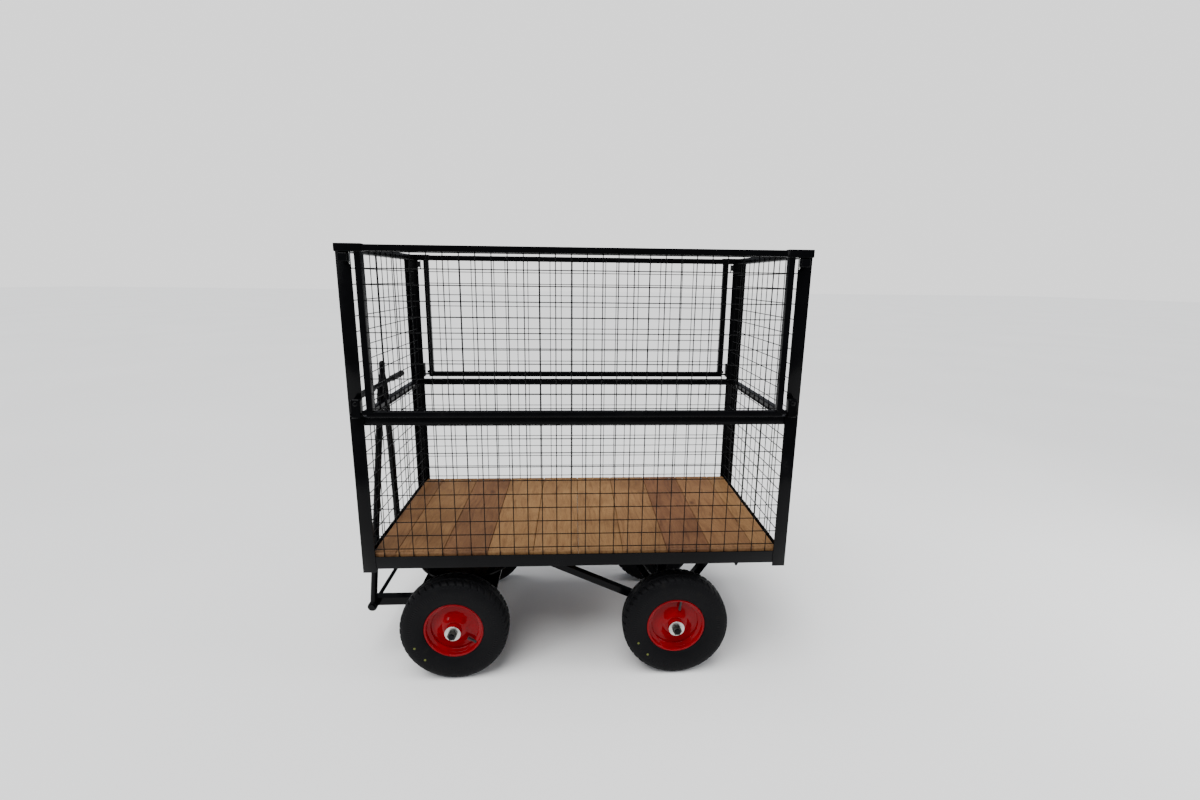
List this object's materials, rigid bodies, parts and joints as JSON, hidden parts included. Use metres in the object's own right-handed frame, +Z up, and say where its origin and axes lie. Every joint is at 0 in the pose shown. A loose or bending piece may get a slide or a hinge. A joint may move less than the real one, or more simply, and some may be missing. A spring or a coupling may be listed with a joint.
{
  "type": "turntable garden cart",
  "caption": "Four-wheel garden cart with a timber deck, a black welded-mesh cage with drop-down sides, a steering front bogie and an A-shaped tow handle.",
  "frame": {"origin": "on the ground under the middle of the whole cart's box", "axes": "+X along the cart away from the tow handle, +Y across it from the front long side to the rear one, +Z up"},
  "size_m": [1.569, 0.71, 1.5625],
  "materials": {
    "black_gloss_paint": "gloss black paint on mild steel",
    "black_mesh_wire": "black paint on welded steel wire",
    "deck_timber": "planed softwood boards, unvarnished",
    "tyre_rubber": "moulded black rubber",
    "red_enamel": "gloss red enamel on pressed steel",
    "bearing_steel": "ground bearing steel",
    "zinc_plate": "bright zinc plate",
    "dark_nut_steel": "dull self-coloured steel",
    "bolt_steel": "black-painted steel bolt",
    "grip_rubber": "matt moulded rubber"
  },
  "bodies": {
    "cart": {"catch_blocks": "black_gloss_paint", "deck_bearers": "black_gloss_paint", "deck_boards": "deck_timber", "end_rail_left": "black_gloss_paint", "end_rail_right": "black_gloss_paint", "hinge_blocks": "black_gloss_paint", "king_bolt": "bolt_steel", "lower_mesh_front": "black_mesh_wire", "lower_mesh_left": "black_mesh_wire", "lower_mesh_rear": "black_mesh_wire", "lower_mesh_right": "black_mesh_wire", "lower_posts_left": "black_gloss_paint", "lower_posts_right": "black_gloss_paint", "mid_rail_front": "black_gloss_paint", "mid_rail_left": "black_gloss_paint", "mid_rail_rear": "black_gloss_paint", "mid_rail_right": "black_gloss_paint", "pedestal_legs": "black_gloss_paint", "rear_axle": "black_gloss_paint", "rear_axle_legs": "black_gloss_paint", "rear_axle_nuts": "dark_nut_steel", "rear_axle_stays": "black_gloss_paint", "rear_axle_washers": "zinc_plate", "side_rail_front": "black_gloss_paint", "side_rail_rear": "black_gloss_paint", "turntable_plate": "black_gloss_paint", "upper_end_frame_left": "black_gloss_paint", "upper_end_frame_right": "black_gloss_paint", "upper_mesh_left": "black_mesh_wire", "upper_mesh_right": "black_mesh_wire"},
    "gate_front": {"gate_front_catches": "black_gloss_paint", "gate_front_frame": "black_gloss_paint", "gate_front_hinge_pins": "bolt_steel", "gate_front_mesh": "black_mesh_wire"},
    "gate_rear": {"gate_rear_catches": "black_gloss_paint", "gate_rear_frame": "black_gloss_paint", "gate_rear_hinge_pins": "bolt_steel", "gate_rear_mesh": "black_mesh_wire"},
    "bogie": {"bogie_plate": "black_gloss_paint", "bogie_cheeks": "black_gloss_paint", "turntable_ring": "black_gloss_paint", "drawbar_arms": "black_gloss_paint", "front_axle": "black_gloss_paint", "front_axle_nuts": "dark_nut_steel", "front_axle_washers": "zinc_plate", "handle_pivot_rod": "bolt_steel"},
    "tow_handle": {"handle_frame": "black_gloss_paint", "handle_grips": "grip_rubber"},
    "wheel_front_near": {"wheel_front_near_tyre": "tyre_rubber", "wheel_front_near_rim": "red_enamel", "wheel_front_near_bearings": "bearing_steel"},
    "wheel_front_far": {"wheel_front_far_tyre": "tyre_rubber", "wheel_front_far_rim": "red_enamel", "wheel_front_far_bearings": "bearing_steel"},
    "wheel_rear_near": {"wheel_rear_near_tyre": "tyre_rubber", "wheel_rear_near_rim": "red_enamel", "wheel_rear_near_bearings": "bearing_steel"},
    "wheel_rear_far": {"wheel_rear_far_tyre": "tyre_rubber", "wheel_rear_far_rim": "red_enamel", "wheel_rear_far_bearings": "bearing_steel"}
  },
  "joints": [
    {"name": "gate_front_fold", "type": "hinge", "parent": "cart", "child": "gate_front", "pos_m": [0.0345, -0.341, 1.025], "axis": [1, 0, 0], "range_deg": [0, 180]},
    {"name": "gate_rear_fold", "type": "hinge", "parent": "cart", "child": "gate_rear", "pos_m": [0.0345, 0.341, 1.025], "axis": [-1, 0, 0], "range_deg": [0, 180]},
    {"name": "turntable_swivel", "type": "hinge", "parent": "cart", "child": "bogie", "pos_m": [-0.4185, 0, 0.3], "axis": [0, 0, 1], "range_deg": [-7, 7]},
    {"name": "tow_handle_fold", "type": "hinge", "parent": "bogie", "child": "tow_handle", "pos_m": [-0.7665, 0, 0.198], "axis": [0, -1, 0], "range_deg": [0, 100]},
    {"name": "wheel_front_near_spin", "type": "hinge", "parent": "bogie", "child": "wheel_front_near", "pos_m": [-0.4185, -0.281, 0.198], "axis": [0, 1, 0], "continuous": true},
    {"name": "wheel_front_far_spin", "type": "hinge", "parent": "bogie", "child": "wheel_front_far", "pos_m": [-0.4185, 0.281, 0.198], "axis": [0, 1, 0], "continuous": true},
    {"name": "wheel_rear_near_spin", "type": "hinge", "parent": "cart", "child": "wheel_rear_near", "pos_m": [0.3995, -0.281, 0.198], "axis": [0, 1, 0], "continuous": true},
    {"name": "wheel_rear_far_spin", "type": "hinge", "parent": "cart", "child": "wheel_rear_far", "pos_m": [0.3995, 0.281, 0.198], "axis": [0, 1, 0], "continuous": true}
  ]
}
